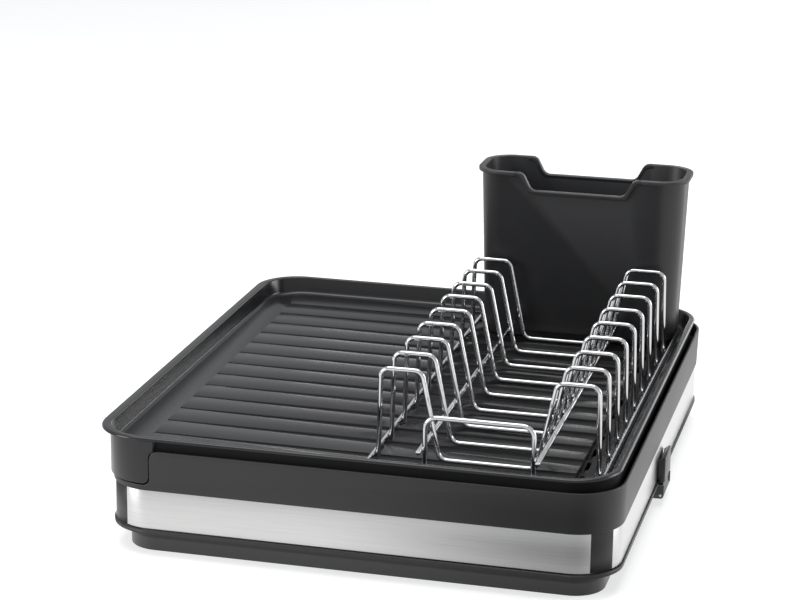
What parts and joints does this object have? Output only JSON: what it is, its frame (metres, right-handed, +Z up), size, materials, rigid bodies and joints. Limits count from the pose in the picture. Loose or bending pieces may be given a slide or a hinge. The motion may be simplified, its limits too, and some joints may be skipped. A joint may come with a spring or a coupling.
{
  "type": "expandable dish rack",
  "caption": "Expandable dish rack: sliding drip tray in a steel-banded base, wire plate rack, cutlery caddy and fold-down drain spout.",
  "frame": {"origin": "under the middle of the whole rack with the tray slid in, on the surface that the foot pads stand on", "axes": "+Z up, +X to the drain spout, so the tray slides out along -X, -Y the front with the lowered tray end at its left"},
  "size_m": [0.369, 0.419, 0.2056],
  "materials": {
    "black_plastic": "satin",
    "brushed_band": "brushed lengthwise",
    "tray_plastic": "semi-gloss",
    "runner_plastic": "matte",
    "rail_steel": "plain zinc",
    "screw_steel": "plain",
    "pad_rubber": "matte",
    "spout_plastic": "satin",
    "wire_chrome": "polished",
    "caddy_plastic": "satin"
  },
  "bodies": {
    "base": {"base_tub": "black_plastic", "steel_band": "brushed_band", "base_collar": "black_plastic", "foot_pad_1": "pad_rubber", "foot_pad_2": "pad_rubber", "foot_pad_3": "pad_rubber", "foot_pad_4": "pad_rubber", "slide_rail_front": "rail_steel", "slide_rail_back": "rail_steel", "rail_screws_front": "screw_steel", "rail_screws_back": "screw_steel", "spout_hinge_pin": "screw_steel", "spout_seal": "pad_rubber"},
    "tray": {"sliding_tray": "tray_plastic", "tray_runner_front": "runner_plastic", "tray_runner_back": "runner_plastic"},
    "spout": {"spout_chute": "spout_plastic"},
    "rack": {"plate_wire_1": "wire_chrome", "plate_wire_2": "wire_chrome", "plate_wire_3": "wire_chrome", "plate_wire_4": "wire_chrome", "plate_wire_5": "wire_chrome", "plate_wire_6": "wire_chrome", "plate_wire_7": "wire_chrome", "plate_wire_8": "wire_chrome", "plate_wire_9": "wire_chrome", "rack_rail_left": "wire_chrome", "rack_rail_right": "wire_chrome", "rack_front_hoop": "wire_chrome", "rack_base_frame": "wire_chrome"},
    "caddy": {"cutlery_caddy": "caddy_plastic"}
  },
  "joints": [
    {"name": "tray_slide", "type": "slide", "parent": "base", "child": "tray", "axis": [-1, 0, 0], "range_m": [0, 0.15]},
    {"name": "spout_hinge", "type": "hinge", "parent": "base", "child": "spout", "pos_m": [0.1819, -0.003, 0.009], "axis": [0, 1, 0], "range_deg": [0, 90]},
    {"name": "rack_lift", "type": "slide", "parent": "tray", "child": "rack", "axis": [0, 0, 1], "range_m": [0, 0.13]},
    {"name": "caddy_lift", "type": "slide", "parent": "rack", "child": "caddy", "axis": [0, 0, 1], "range_m": [0, 0.15]}
  ]
}
